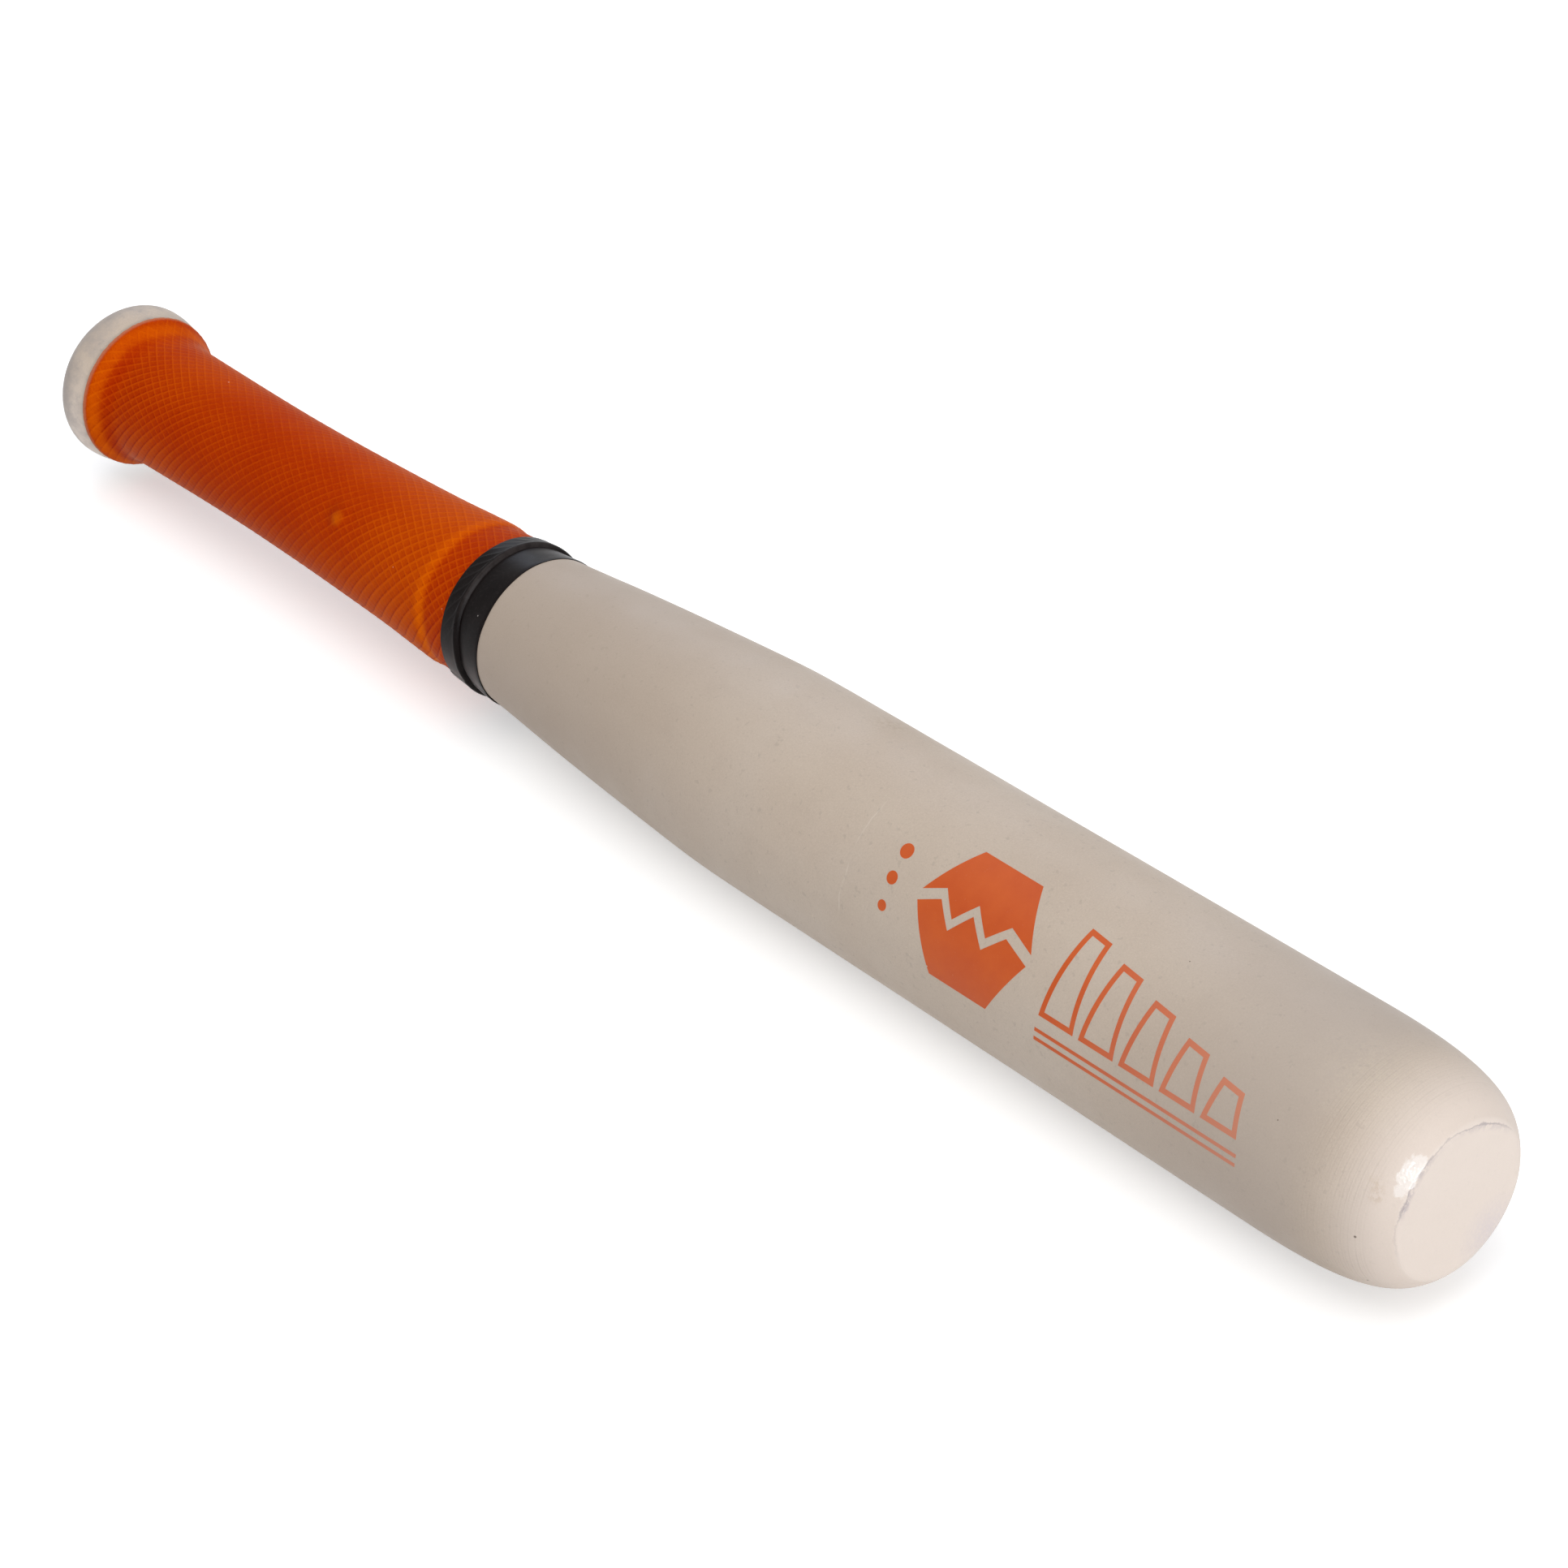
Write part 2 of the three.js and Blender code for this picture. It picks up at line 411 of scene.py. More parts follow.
def painted_light_on_rubber(along, angle):
    """Painted light on the rubber: painted highlights on the rings over the flare and the collar
    and towards the upper and lower sides, and painted shade behind the flare ring, after the collar
    and in darker zones of the handle.
    """
    past = angle_between(angle, VIEW_SIDE)
    flare = along - FLARE_RING - 1.4 * smooth_step(0.3, 1.1, -past)
    collar = along - COLLAR - 2.0 * smooth_step(0.2, 1.1, past)
    painted_light_and_tone = 0.34 * np.exp(-(flare / 1.7) ** 4) * (
        1 + 0.6 * soft_noise(along, angle, 18.0, 6, 7))
    painted_light_and_tone += (0.22 + 0.16 * smooth_step(0, 0.6, past)) * np.exp(-(np.abs(collar) / 1.5) ** 3)
    painted_light_and_tone += 0.14 * smooth_step(95, 140, along) * (1 - smooth_step(1.0, 2.5, collar))
    painted_light_and_tone += 0.1 * smooth_step(0.3, 0.9, -past) + 0.1 * smooth_step(0.45, 0.9, past)
    painted_shade = 0.2 * np.exp(-((along - 20.8) / 1.6) ** 2) * smooth_step(-0.9, -0.2, past)
    painted_shade += 0.05 * np.exp(-((along - 26) / 5) ** 2) + 0.06 * np.exp(-((along - 58) / 18) ** 2)
    painted_shade += 0.16 * np.exp(-((along - 42) / 16) ** 2 - ((past - 0.3) / 0.4) ** 2)
    painted_shade += 0.08 * smooth_step(1.2, 2.4, collar)
    return 0.3 + painted_light_and_tone - painted_shade


def grip_skin():
    """The line of the sleeve's skin between the ribs, and its outward normals."""
    line, normals = stretch(SLEEVE_START - 3, SLEEVE_END + 3, 0.4)
    return line + normals * (FIT_GAP + SLEEVE_SKIN), normals


def grip_swell(along, angle):
    """Bulges and hollows of the sleeve over its bed."""
    swell = 0.06 * soft_noise(along, angle, 16.0, 22, 5)
    off = np.hypot(along - BLISTER[0], 17 * angle_between(angle, VIEW_SIDE + BLISTER[1]))
    swell += 0.5 * np.exp(-(off / 1.9) ** 2)
    off = np.hypot((along - HOLLOW[0]) / 1.6, 17 * angle_between(angle, VIEW_SIDE + HOLLOW[1]))
    return swell - 0.18 * np.exp(-(off / 2.2) ** 2)


def flat_grip():
    """A flat grid, and the count of each family of ribs at its points."""
    steps = len(RIB_SHARES)
    round_a, round_b = RIBS_ROUND
    rate = RIBS_ALONG[1] - RIBS_ALONG[0] * round_b / round_a
    first = math.floor(SLEEVE_START * rate + round_b) - 3
    last = math.ceil(TAPE_START * rate) + 5
    columns, rows = round_a * steps, (last - first) * steps
    grip = start_piece(
        "ribbed_grip", bpy.ops.mesh.primitive_grid_add, x_subdivisions=columns,
        y_subdivisions=rows, size=1)
    flat = read_points(grip)
    column = np.rint((flat[:, 0] + 0.5) * columns).astype(int)
    row = np.rint((flat[:, 1] + 0.5) * rows).astype(int)
    shares = np.array(RIB_SHARES)
    a = column // steps + shares[column % steps]
    b = first + row // steps + shares[row % steps]
    return grip, a, b


def keep_for_material(grip, a, b, past, painted_light_and_tone):
    """Keeps the ribs' count at the faces' corners and the painted light on the rubber at the
    points.
    """
    corners = np.empty(len(grip.data.loops), np.int32)
    grip.data.loops.foreach_get("vertex_index", corners)
    lattice = grip.data.attributes.new("lattice", "FLOAT_VECTOR", "CORNER")
    lattice.data.foreach_set(
        "vector", np.column_stack([a, b, np.sin(past)])[corners].astype(np.float32).ravel())
    # The painted highlight and shade on the rubber, kept at the points.
    stretched = grip.data.attributes.new("painted_light_and_tone", "FLOAT", "POINT")
    stretched.data.foreach_set("value", painted_light_and_tone.astype(np.float32))


def select_ring(piece, along):
    """Selects the piece's points at one place along the bat, in edit mode."""
    leave()
    chosen = np.abs(read_points(piece)[:, 0] - BUTT_X - along * MM) < 2e-6
    piece.data.vertices.foreach_set("select", chosen)
    piece.data.edges.foreach_set("select", np.zeros(len(piece.data.edges), bool))
    piece.data.polygons.foreach_set("select", np.zeros(len(piece.data.polygons), bool))
    bpy.ops.object.mode_set(mode="EDIT")
    bpy.ops.mesh.select_mode(type="VERT")


def add_wall(grip, skin):
    """Adds the wall: in at the knob end, along the stick, and out again under the tape."""
    stations = (SLEEVE_START, 18, 21, HANDLE_FOOT[0], 40, 58.5, 80, 105, 128, SHOULDER[0],
                TAPER_FOOT[0], SKIN_END)
    line, normals = stretch(SLEEVE_START - 1, SLEEVE_END + 1, 0.3)
    inside = line + normals * FIT_GAP
    radii = np.interp(stations, inside[:, 0], inside[:, 1])
    select_ring(grip, SLEEVE_START)
    here = np.interp(SLEEVE_START, skin[:, 0], skin[:, 1]) - 0.25
    for step, there in zip(np.diff(stations, prepend=SLEEVE_START), radii):
        bpy.ops.mesh.extrude_region_move()
        bpy.ops.transform.translate(value=(step * MM, 0, 0))
        bpy.ops.transform.resize(
            value=(1, there / here, there / here), center_override=(0, 0, AXIS_Z))
        here = there
    select_ring(grip, SKIN_END)
    bpy.ops.mesh.bridge_edge_loops()
    leave()


def ribbed_grip():
    grip, a, b = flat_grip()
    along, past = rib_place(a, b)
    angle = VIEW_SIDE + past
    skin, normals = grip_skin()
    radius, out_along, out_radius = (
        np.interp(along, skin[:, 0], values) for values in (skin[:, 1], *normals.T))
    shown = smooth_step(SLEEVE_START + 0.2, SLEEVE_START + 1.4, along)
    shown *= 1 - smooth_step(TAPE_START, TAPE_START + 0.8, along)
    shown *= 1 - 0.6 * np.exp(-((along - 17) / 3) ** 2)
    height = (rib_height(a, 0) + rib_height(b, 1)) * shown + grip_swell(along, angle)
    height -= 0.32 * (1 - smooth_step(SLEEVE_START, SLEEVE_START + 1.1, along))
    write_points(grip, place(along + out_along * height, angle, radius + out_radius * height))
    keep_for_material(grip, a, b, past, painted_light_on_rubber(along, angle))
    settle(grip)

    edit(grip)
    for end, side in ((SLEEVE_START, -1), (SKIN_END, 1)):
        cut((BUTT_X + end * MM, 0, 0), (side, 0, 0), clear_outer=True)
    bpy.ops.mesh.select_all(action="SELECT")
    bpy.ops.mesh.remove_doubles(threshold=3e-6)
    leave()
    add_wall(grip, skin)
    finish_shape(grip, 60)
    return grip


# Vinyl tape

# A pinch in the tape just before its tail: its place along the bat and its angle.
PINCH_ALONG, PINCH_ANGLE = 166.8, math.radians(113.5)


def tape_bed():
    """The line that the tape is wound on: the sleeve, a short step and the wood."""
    on_sleeve, sleeve_normals = stretch(TAPE_START, SLEEVE_END, 0.22)
    on_wood, wood_normals = stretch(SLEEVE_END + TAPE_STEP, TAPE_END, 0.5)
    sleeve_bed = on_sleeve + sleeve_normals * (FIT_GAP + SLEEVE_WALL + 0.02)
    wood_bed = on_wood + wood_normals * 0.02
    step = bezier([sleeve_bed[-1], sleeve_bed[-1] + (0.3, 0.02), wood_bed[0] - (0.35, 0.0),
                   wood_bed[0]], 10)
    return joined(sleeve_bed, step, wood_bed)


def tape_section(bed):
    """The tape's outside, thinned at its edge on the wood, and its inside as one closed line."""
    out = normals_of(bed)
    on_wood = smooth_step(SLEEVE_END, SLEEVE_END + TAPE_STEP, bed[:, 0])[:, None]
    edge = smooth_step(TAPE_END - 0.3, TAPE_END, bed[:, 0])[:, None]
    inside = bed + out * (FIT_GAP - 0.02 - 0.1 * on_wood)
    outside = bed + out * (FIT_GAP + TAPE_THICKNESS - 0.15 * on_wood - 0.09 * edge)
    return np.vstack([outside, inside[::-2], outside[:1]])


def pressed_ribs(along, past):
    """Height of the sleeve's ribs through the tape, and of the bead over the sleeve's end."""
    count = RIBS_ALONG[0] * along + RIBS_ROUND[0] * past / TURN + RIB_START[0]
    relief = rib_height(count + rib_drift(along, past)[0], 0)
    pressed = 1 - smooth_step(SLEEVE_END - 1.4, SLEEVE_END - 0.2, along)
    pressed *= 1 - smooth_step(0.2, 0.9, past)
    pressed *= smooth_step(TAPE_START, TAPE_START + 0.5, along)
    bead = np.exp(-((along - SLEEVE_END + 0.1) / 0.4) ** 2)
    return 1.8 * relief * pressed + 0.05 * bead


def lapped_layer(angle, radius):
    """Height of the one layer more between the tail and the buried start."""
    lapped = angle_between(angle, TAPE_TAIL) % TURN * radius
    return TAPE_LAYER * smooth_step(0, 0.3, lapped) * (
        1 - smooth_step(TAPE_LAP - 4, TAPE_LAP, lapped))


def tape_shift(along, angle, past):
    """How far the tape's edges lean and waver along the bat, and its step with them."""
    lean = np.cos(angle + math.radians(20))
    ripple = 0.05 * np.sin(5 * angle + 1) + 0.03 * np.sin(11 * angle)
    near_start = 1 - smooth_step(TAPE_START, SLEEVE_END - 1, along)
    near_end = smooth_step(SLEEVE_END + 2, TAPE_END, along)
    shift = near_start * (0.36 * lean + ripple) + near_end * (0.4 * lean - ripple)
    above = 1 - smooth_step(0.1, 0.8, np.abs(angle_between(past, -0.5)) - 0.6)
    over_end = np.exp(-((along + shift - SLEEVE_END - 0.4) / 1.6) ** 4)
    return shift - (above - 0.2) * over_end


def tape_folds(along, angle):
    """Height of the pinch, the fold beside it and a slight sag."""
    across = 18.5 * angle_between(angle, PINCH_ANGLE)
    past_pinch = along - PINCH_ALONG
    pinch = np.exp(-((past_pinch - 0.25 * across) / 0.55) ** 2 - (across / 2.4) ** 2)
    fold = np.exp(-((past_pinch - 1.3 - 0.3 * across) / 0.4) ** 2 - (across / 3.4) ** 2)
    sag = np.sin(7 * angle + 0.8 * along) * smooth_step(167, 169, along)
    return 0.03 * sag - 0.3 * pinch + 0.16 * fold


def vinyl_tape():
    bed = tape_bed()
    tape = spun("vinyl_tape", tape_section(bed), TAPE_SEGMENTS, closed=True)
    finish_shape(tape, 35)
    along, angle, radius = unplaced(read_points(tape))
    past = angle_between(angle, VIEW_SIDE)
    order = np.argsort(bed[:, 0])
    under = np.interp(along, bed[order, 0], bed[order, 1])
    outer = smooth_step(FIT_GAP - 0.04, FIT_GAP + 0.04, radius - under)
    radius = radius + outer * (pressed_ribs(along, past) + lapped_layer(angle, under.mean()))
    along = along + tape_shift(along, angle, past)
    radius = radius + outer * tape_folds(along, angle)
    write_points(tape, place(along, angle, radius))
    return tape


# Printed mark on the barrel

# Its sizes are places along the bat, and across it downwards from the side that faces the
# camera.
HEXAGON_MIDDLE, HEXAGON_REACH, HEXAGON_GAP = (343.5, 4.6), 17.2, 1.3
HEXAGON_SLANT = 0.58  # how much narrower it gets for each mm away from its middle
ZIGZAG = ((-1, 0.0), (-0.72, -0.16), (-0.4, 0.14), (-0.08, -0.18), (0.26, 0.12), (0.6, -0.16),
          (1, 0.0))
ROW_START, ROW_PITCH, ROW_COUNT = 367, 11.6, 5
ROW_BASE, ROW_HEIGHT, ROW_FALL = 13.4, 21.5, 2.9
ROW_WIDTH, ROW_STROKE, ROW_TOPS = 10.0, 1.25, ((1.9, 0.0), (8.2, 0.7))
LINE_START, LINE_END, LINE_WIDTH, LINES_ACROSS = 366.6, 424.2, 0.85, (16.3, 18.4)
DOTS_ALONG, DOTS_ACROSS, DOTS_PITCH, DOT_RADII = 318.5, -1.6, 6.4, (1.75, 1.5, 1.25)
INK_LIFT, INK_THICKNESS = 0.022, 0.05
# Where the flat mark is cut before it is wrapped: the first cut, the last, and their spacing.
CUTS_ACROSS, CUTS_ALONG = (-15.0, 26.0, 0.9), (315.0, 428.0, 4.0)


def hexagon_halves():
    """Two halves of a hexagon, apart along a zigzag."""
    (middle, centre), reach, gap = HEXAGON_MIDDLE, HEXAGON_REACH, HEXAGON_GAP
    ring = [(middle + reach * math.cos(TURN * k / 6), centre + reach * math.sin(TURN * k / 6))
            for k in range(6)]
    halves = []
    for side in (-1, 1):
        zigzag = [(middle + x * (reach - (abs(y) * reach + gap) * HEXAGON_SLANT),
                   centre + y * reach + side * gap) for x, y in ZIGZAG]
        corners = sorted((p for p in ring if side * (p[1] - centre) > 1), reverse=True)
        halves.append(zigzag + corners)
    return halves


def falling_row():
    """Upright trapezoids, each lower than the one before."""
    row = []
    for k in range(ROW_COUNT):
        left, top = ROW_START + ROW_PITCH * k, ROW_BASE - ROW_HEIGHT + ROW_FALL * k
        tops = [(left + x, top + y) for x, y in ROW_TOPS]
        row.append(tops + [(left + ROW_WIDTH, ROW_BASE), (left, ROW_BASE)])
    return row


def double_line():
    return [[(LINE_START, across), (LINE_END, across), (LINE_END, across + LINE_WIDTH),
             (LINE_START, across + LINE_WIDTH)] for across in LINES_ACROSS]


def falling_dots():
    """Three dots, each a little smaller than the one before."""
    turns = np.linspace(0, TURN, 20, endpoint=False)
    return [[(DOTS_ALONG + radius * math.cos(turn),
              DOTS_ACROSS + DOTS_PITCH * k + radius * math.sin(turn)) for turn in turns]
            for k, radius in enumerate(DOT_RADII)]


def flat_shape(outline, stroke=None):
    """One shape, still flat: a round face whose points are moved to the outline.

    With a stroke, only an outline of that width is left of it.
    """
    shape = start_piece(
        "flat_shape", bpy.ops.mesh.primitive_circle_add, vertices=len(outline), radius=10,
        fill_type="NGON")
    write_points(shape, [(x, y, 0) for x, y in outline])
    settle(shape)
    if stroke:
        edit(shape)
        bpy.ops.mesh.select_mode(type="FACE")
        bpy.ops.mesh.inset(thickness=stroke, depth=0)
        bpy.ops.mesh.delete(type="FACE")
        leave()
    return shape


def wrap_on_barrel(mark):
    """Cuts the flat mark fine enough to wrap it round the barrel, and wraps it."""
    edit(mark)
    for across in np.arange(*CUTS_ACROSS):
        cut((0, across, 0), (0, 1, 0))
    for along in np.arange(*CUTS_ALONG):
        cut((along, 0, 0), (1, 0, 0))
    bpy.ops.mesh.select_all(action="SELECT")
    bpy.ops.mesh.quads_convert_to_tris(quad_method="FIXED", ngon_method="BEAUTY")
    leave()
    flat = read_points(mark)
    along, across = flat[:, 0], flat[:, 1]
    radius = radius_at(along)
    angle = VIEW_SIDE + across / radius
    radius = radius + paint_height(along, angle, radius) + INK_LIFT
    write_points(mark, place(along, angle, radius))


def face_away_from_axis(mark):
    outwards = np.array([face.normal.yz.dot(face.center.yz - Vector((0, AXIS_Z))) > 0
                         for face in mark.data.polygons])
    edit(mark, "DESELECT")
    leave()
    mark.data.polygons.foreach_set("select", ~outwards)
    bpy.ops.object.mode_set(mode="EDIT")
    bpy.ops.mesh.select_mode(type="FACE")
    bpy.ops.mesh.flip_normals()
    leave()


def barrel_print():
    shapes = [flat_shape(half) for half in hexagon_halves()]
    shapes += [flat_shape(trapezoid, ROW_STROKE) for trapezoid in falling_row()]
    shapes += [flat_shape(outline) for outline in double_line() + falling_dots()]
    mark = shapes[0]
    mark.name = mark.data.name = "barrel_print"
    join(*shapes)
    wrap_on_barrel(mark)
    face_away_from_axis(mark)
    film = mark.modifiers.new("film", "SOLIDIFY")
    film.thickness = INK_THICKNESS * MM
    film.offset = -1
    bpy.context.view_layer.objects.active = mark
    bpy.ops.object.modifier_apply(modifier="film")
    return mark


# Materials

def srgb(red, green, blue):
    def linear(value):
        value /= 255
        return value / 12.92 if value <= 0.04045 else ((value + 0.055) / 1.055) ** 2.4

    return (linear(red), linear(green), linear(blue), 1.0)


class Nodes:
    """A node tree with a few short ways to add nodes to it."""

    def __init__(self, tree):
        self.tree = tree

    def node(self, kind, inputs=(), **settings):
        made = self.tree.nodes.new("ShaderNode" + kind)
        for key, value in settings.items():
            setattr(made, key, value)
        for key, value in dict(inputs).items():
            if isinstance(value, bpy.types.NodeSocket):
                self.tree.links.new(value, made.inputs[key])
            else:
                made.inputs[key].default_value = value
        return made

    def math(self, operation, first, second=0.0, third=0.0):
        return self.node("Math", {0: first, 1: second, 2: third}, operation=operation).outputs[0]

    def times(self, first, *others):
        for other in others:
            first = self.math("MULTIPLY", first, other)
        return first

    def length(self, first, second):
        """The long side of a right triangle with these two sides."""
        return self.math("SQRT", self.math(
            "ADD", self.times(first, first), self.times(second, second)))

    def ramp(self, value, *stops):
        """A colour ramp whose stops are (place, colour or grey)."""
        made = self.node("ValToRGB", {0: value})
        elements = made.color_ramp.elements
        while len(elements) < len(stops):
            elements.new(0.5)
        for element, (spot, colour) in zip(elements, stops):
            element.position = spot
            element.color = colour if isinstance(colour, tuple) else (colour, colour, colour, 1)
        return made.outputs[0]

    def step(self, value, low, high, at_low=0.0, at_high=1.0):
        """Goes smoothly from at_low to at_high as the value goes from low to high."""
        return self.node("MapRange", {
            "Value": value, "From Min": low, "From Max": high, "To Min": at_low,
            "To Max": at_high}, interpolation_type="SMOOTHSTEP").outputs["Result"]

    def band(self, value, start, full, fade, end):
        """1 between full and fade, 0 outside start and end."""
        return self.times(self.step(value, start, full), self.step(value, fade, end, 1.0, 0.0))

    def mix(self, share, first, second):
        made = self.node("Mix", data_type="RGBA")
        for socket, value in zip((made.inputs[0], *made.inputs[6:8]), (share, first, second)):
            if isinstance(value, bpy.types.NodeSocket):
                self.tree.links.new(value, socket)
            else:
                socket.default_value = value
        return made.outputs[2]

    def seen(self):
        """1 for the camera's own rays and what glossy or clear surfaces show, 0 for light."""
        path = self.node("LightPath").outputs
        return self.math("MAXIMUM", path["Is Camera Ray"], self.math(
            "MAXIMUM", path["Is Glossy Ray"], path["Is Transmission Ray"]))


class Finish(Nodes):
    """A material and the colour that its surface has so far."""

    def __init__(self, name):
        self.material = bpy.data.materials.new(name)
        self.material.use_nodes = True
        super().__init__(self.material.node_tree)
        self.shader = self.tree.nodes["Principled BSDF"]
        self.place = self.node("TexCoord").outputs["Object"]
        self.colour = None

    def link(self, output, name):
        self.tree.links.new(output, self.shader.inputs[name])

    def set(self, **values):
        for key, value in values.items():
            self.shader.inputs[key.replace("_", " ")].default_value = value

    def tint(self, share, *colour):
        """Lays that share of one more colour over the surface."""
        self.colour = self.mix(share, self.colour, srgb(*colour))

    def mapped(self, location=(0, 0, 0), scale=(1, 1, 1)):
        return self.node("Mapping", {
            "Vector": self.place, "Location": location, "Scale": scale}).outputs[0]

    def from_butt(self):
        """Millimetres along the bat from its butt, and across and above its axis."""
        return self.node("SeparateXYZ", {0: self.mapped(
            location=(-BUTT_X / MM, 0, -AXIS_Z / MM), scale=(1 / MM, 1 / MM, 1 / MM))}).outputs

    def turn(self, across, above):
        """The angle round the bat from its top."""
        return self.math("ARCTAN2", self.times(across, -1.0), above)

    def noise(self, scale, detail, roughness, vector=None):
        return self.node("TexNoise", {
            "Vector": vector or self.place, "Scale": scale, "Detail": detail,
            "Roughness": roughness}).outputs["Fac"]

    def noise_around(self, reach, *settings):
        """Noise that goes about as far as the reach to both sides of 0."""
        return self.math("MULTIPLY_ADD", self.noise(*settings), 2 * reach, -reach)

    def bump(self, height, strength, distance, normal=None):
        """Bumps of that distance in mm, on top of the bumps that normal gives."""
        inputs = {"Height": height, "Strength": strength, "Distance": distance * MM}
        if normal is not None:
            inputs["Normal"] = normal
        return self.node("Bump", inputs).outputs[0]

    def spot(self, centre, radius, softness):
        """1 inside a ball round a row-frame point, fading to 0 at its radius in mm."""
        away = self.node("VectorMath", {0: self.place, 1: centre}, operation="DISTANCE")
        share = self.math("DIVIDE", away.outputs["Value"], radius * MM)
        return self.ramp(share, (1 - softness, 1.0), (1.0, 0.0))


def spot_on_bat(along, past, lift=0.0):
    return tuple(place([along], VIEW_SIDE + past, radius_at(along) + lift)[0])


# The chipped line round the upper side of the tip's rim: (degrees from the top, its radius),
# how strong the line is at each place, and how much the wood shows through inside it.
RIM_CRACK = ((-58, 17.3), (-40, 17.05), (-20, 16.9), (-6, 17.0), (8, 17.4), (23, 17.65),
             (36, 17.6), (50, 17.7), (64, 17.5), (76, 17.9), (88, 17.9), (120, 17.6))
RIM_LINE = ((-60, 0.0), (-50, 0.3), (-30, 0.6), (-8, 0.6), (8, 0.4), (26, 0.4), (38, 0.5),
            (52, 0.3), (64, 0.65), (72, 0.55), (80, 0.2), (104, 0.15), (120, 0.0))
RIM_SMUDGES = ((-58, 0.0), (-42, 0.3), (-22, 0.6), (-4, 0.35), (14, 0.1), (30, 0.25),
               (40, 0.85), (50, 0.45), (60, 0.9), (70, 1.0), (78, 0.15), (88, 0.0))
# Turning rings under the paint of the tip: (spacing along the bat, share).
TIP_RINGS = ((0.74, 0.6), (0.47, 0.4))
# A grey-violet patch on the tip face, in the row frame, and the run of lacquer on its rim with how
# far that reaches to both sides.
GREY_VIOLET_SPOT = (-BUTT_X, 0.0103, AXIS_Z - 0.0128)
RUN_ANGLE, RUN_RADIUS = 0.84, 18.9
RUN_REACH = (4.6 / 19, 1.35)


def by_angle(paint, angle, table, low, high):
    """A value read from a table by the angle from the top, in degrees."""
    share = paint.math("MULTIPLY_ADD", angle, 1 / TURN, 0.5)
    read = paint.ramp(share, *(
        (turn / 360 + 0.5, (value - low) / (high - low)) for turn, value in table))
    return paint.math("MULTIPLY_ADD", read, high - low, low)


def paint_clouds(paint, along):
    """The off-white paint: clouded, mottled and pitted, with painted shade towards the handle,
    darker before the tip, and painted light on the tip.
    """
    paint.colour = paint.ramp(
        paint.noise(22, 3, 0.5), (0.25, srgb(190, 173, 156)), (0.5, srgb(196, 180, 164)),
        (0.78, srgb(199, 185, 171)))
    streaks = paint.noise(90, 3, 0.6, paint.mapped(scale=(0.12, 1, 1)))
    paint.tint(paint.ramp(streaks, (0.42, 0.0), (0.75, 0.3)), 203, 189, 172)
    paint.tint(paint.ramp(paint.noise(160, 4, 0.6), (0.5, 0.0), (0.8, 0.22)), 178, 163, 149)
    mottle = paint.noise(2600, 2, 0.6)
    paint.tint(paint.step(mottle, 0.5, 0.75, 0.0, 0.26), 170, 155, 142)
    paint.tint(paint.step(mottle, 0.5, 0.25, 0.0, 0.24), 214, 201, 188)
    pits = paint.step(paint.noise(640, 2, 0.5), 0.65, 0.71)
    paint.tint(paint.times(pits, 0.22), 150, 136, 124)
    # Painted shade towards the handle.
    painted_handle_shade = paint.band(along, 100, 150, 178, 300)
    paint.tint(paint.times(painted_handle_shade, 0.6), 166, 150, 136)
    before_tip = paint.band(along, 370, 428, 434, 450)
    paint.tint(paint.times(before_tip, 0.45), 170, 158, 149)
    # Painted light towards the tip.
    painted_tip_light = paint.step(along, 441, 458)
    paint.tint(paint.times(painted_tip_light, 0.65), 221, 208, 199)


def knob_blotches(paint, along, angle):
    """The knob is blotched grey and greyer towards the butt, with painted light on its lower side.
    """
    knob = paint.step(along, 20, 10)
    # Painted light on the knob's lower side.
    below = paint.step(paint.math("COSINE", angle), 0.9, -0.6)
    paint.tint(paint.times(knob, below), 234, 221, 209)
    blotch = paint.ramp(paint.noise(160, 5, 0.7), (0.42, 0.0), (0.64, 1.0))
    paint.tint(paint.times(knob, blotch, 0.5), 160, 151, 148)
    butt_edge_grey = paint.math("MULTIPLY_ADD", paint.noise(45, 3, 0.6), 6.0, along)
    paint.tint(paint.times(paint.step(butt_edge_grey, 13.5, 6.0), 0.85), 146, 138, 136)


def film_edge(paint, along, angle):
    """The clear film over the printed mark starts at a faint wavering edge."""
    waver = paint.math("MULTIPLY_ADD", paint.noise(60, 3, 0.6), 3.0, FILM_START - 1.5)
    to_film = paint.math("SUBTRACT", along, waver)
    edge = paint.times(
        paint.band(to_film, -0.25, 0.0, 0.05, 0.3), paint.band(angle, 0.44, 0.5, 1.6, 1.75),
        paint.step(paint.noise(140, 3, 0.6), 0.38, 0.55, 0.15, 1.0))
    paint.tint(paint.times(edge, 0.45), 216, 205, 193)


def turning_rings(paint, along):
    """Rings from turning on the rounding of the tip, under the paint."""
    wobble = paint.noise(24, 2, 0.5)
    rings = paint.math("ADD", *(
        paint.times(paint.math("SINE", paint.math(
            "MULTIPLY_ADD", wobble, 7.0, paint.times(along, TURN / spacing))), share)
        for spacing, share in TIP_RINGS))
    fainter = paint.step(paint.noise(55, 2, 0.5), 0.38, 0.6, 0.5, 1.0)
    rings = paint.times(rings, fainter, paint.band(along, 436, 442, 453, 457.5))
    paint.tint(paint.step(rings, 0.0, 0.9, 0.0, 0.2), 172, 158, 146)
    on_face = paint.step(along, TIP - 0.7, TIP - 0.3)
    paint.tint(paint.times(on_face, 0.2), 222, 212, 204)
    return rings


